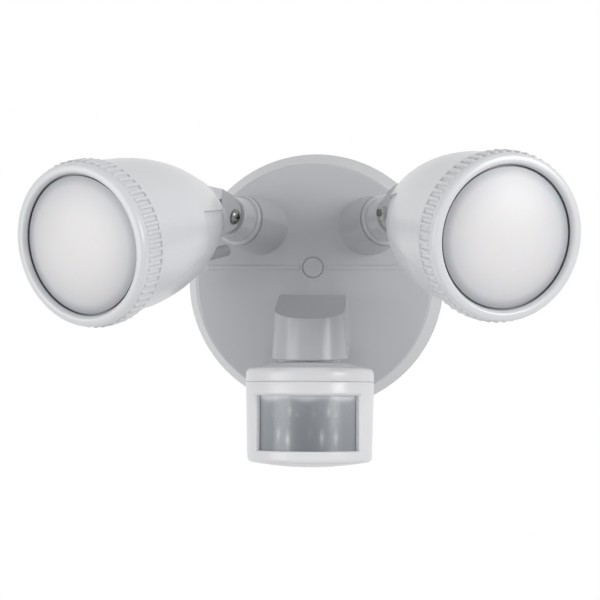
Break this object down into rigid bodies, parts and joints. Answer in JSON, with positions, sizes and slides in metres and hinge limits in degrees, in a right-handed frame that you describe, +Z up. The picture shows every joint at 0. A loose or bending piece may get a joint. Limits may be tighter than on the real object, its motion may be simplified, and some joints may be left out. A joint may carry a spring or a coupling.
{
  "type": "motion sensor security light",
  "caption": "Wall-mounted twin-head security floodlight: round canopy, two swivelling ribbed lamp heads with frosted lenses and a ball-jointed motion sensor below.",
  "frame": {"origin": "centre of the round canopy on the wall plane, at the back of the gasket", "axes": "+Z up the wall, +X to the right as a visitor sees the light, +Y into the wall; the light stands out towards -Y"},
  "size_m": [0.2591, 0.1759, 0.1644],
  "materials": {
    "shell": "satin",
    "sensor_plastic": "satin",
    "frosted_lens": "frosted",
    "window": "translucent",
    "steel": "zinc plated",
    "dark_screw": "black oxide",
    "seal": "matte",
    "foam": "closed cell",
    "bare_aluminium": "machined",
    "reflector": "mirror",
    "board": "solder mask",
    "green_board": "solder mask",
    "chips": "phosphor",
    "black_plastic": "moulded",
    "clear_lamp": "tinted"
  },
  "bodies": {
    "canopy": {"canopy_shell": "shell", "canopy_gasket": "foam", "bolt_plug": "shell", "mounting_bracket": "steel", "mounting_bolt": "steel", "ground_screw": "steel", "lamp_driver": "black_plastic", "left_driver_pad": "foam", "right_driver_pad": "foam"},
    "swivel": {"swivel_ball": "sensor_plastic", "swivel_clip": "steel"},
    "sensor": {"sensor_cap": "sensor_plastic", "sensor_housing": "sensor_plastic", "sensor_lens": "window", "sensor_board": "green_board", "pir_element": "steel", "indicator_lamp": "clear_lamp", "photocell": "black_plastic", "relay": "black_plastic"},
    "time_knob": {"time_knob": "black_plastic"},
    "range_knob": {"range_knob": "black_plastic"},
    "left_arm": {"left_arm": "shell", "left_arm_seal": "seal", "left_arm_nut": "steel", "left_knuckle_washers": "steel"},
    "left_head": {"left_tilt_bracket": "shell", "left_bracket_seal": "seal", "left_bracket_nut": "steel", "left_knuckle_screw": "dark_screw", "left_knuckle_nut": "steel", "left_head_shell": "shell", "left_bezel_ring": "shell", "left_diffuser_lens": "frosted_lens", "left_lens_gasket": "seal", "left_heat_sink": "bare_aluminium", "left_lamp_board": "board", "left_lamp_chips": "chips", "left_reflector": "reflector", "left_lead_grommet": "shell"},
    "right_arm": {"right_arm": "shell", "right_arm_seal": "seal", "right_arm_nut": "steel", "right_knuckle_washers": "steel"},
    "right_head": {"right_tilt_bracket": "shell", "right_bracket_seal": "seal", "right_bracket_nut": "steel", "right_knuckle_screw": "dark_screw", "right_knuckle_nut": "steel", "right_head_shell": "shell", "right_bezel_ring": "shell", "right_diffuser_lens": "frosted_lens", "right_lens_gasket": "seal", "right_heat_sink": "bare_aluminium", "right_lamp_board": "board", "right_lamp_chips": "chips", "right_reflector": "reflector", "right_lead_grommet": "shell"}
  },
  "joints": [
    {"name": "left_arm_swivel", "type": "hinge", "parent": "canopy", "child": "left_arm", "pos_m": [-0.04625, -0.06116, 0.03546], "axis": [-0.4334, -0.8887, 0.1495], "range_deg": [-70, 70]},
    {"name": "left_head_tilt", "type": "hinge", "parent": "left_arm", "child": "left_head", "pos_m": [-0.04625, -0.06116, 0.03546], "axis": [0.8704, -0.4558, -0.1861], "range_deg": [-70, 45]},
    {"name": "right_arm_swivel", "type": "hinge", "parent": "canopy", "child": "right_arm", "pos_m": [0.04625, -0.06116, 0.03546], "axis": [0.4334, -0.8887, 0.1495], "range_deg": [-70, 70]},
    {"name": "right_head_tilt", "type": "hinge", "parent": "right_arm", "child": "right_head", "pos_m": [0.04625, -0.06116, 0.03546], "axis": [0.9001, 0.4349, -0.0247], "range_deg": [-70, 45]},
    {"name": "sensor_tilt", "type": "hinge", "parent": "canopy", "child": "swivel", "pos_m": [0, -0.0604, -0.034], "axis": [1, 0, 0], "range_deg": [-2, 14]},
    {"name": "sensor_pan", "type": "hinge", "parent": "swivel", "child": "sensor", "pos_m": [0, -0.0604, -0.034], "axis": [0, 0.0872, 0.9962], "range_deg": [-60, 60]},
    {"name": "time_knob_turn", "type": "hinge", "parent": "sensor", "child": "time_knob", "pos_m": [-0.011, -0.06227, -0.09206], "axis": [0, 0.0872, 0.9962], "range_deg": [-135, 135]},
    {"name": "range_knob_turn", "type": "hinge", "parent": "sensor", "child": "range_knob", "pos_m": [0.011, -0.06227, -0.09206], "axis": [0, 0.0872, 0.9962], "range_deg": [-135, 135]}
  ]
}
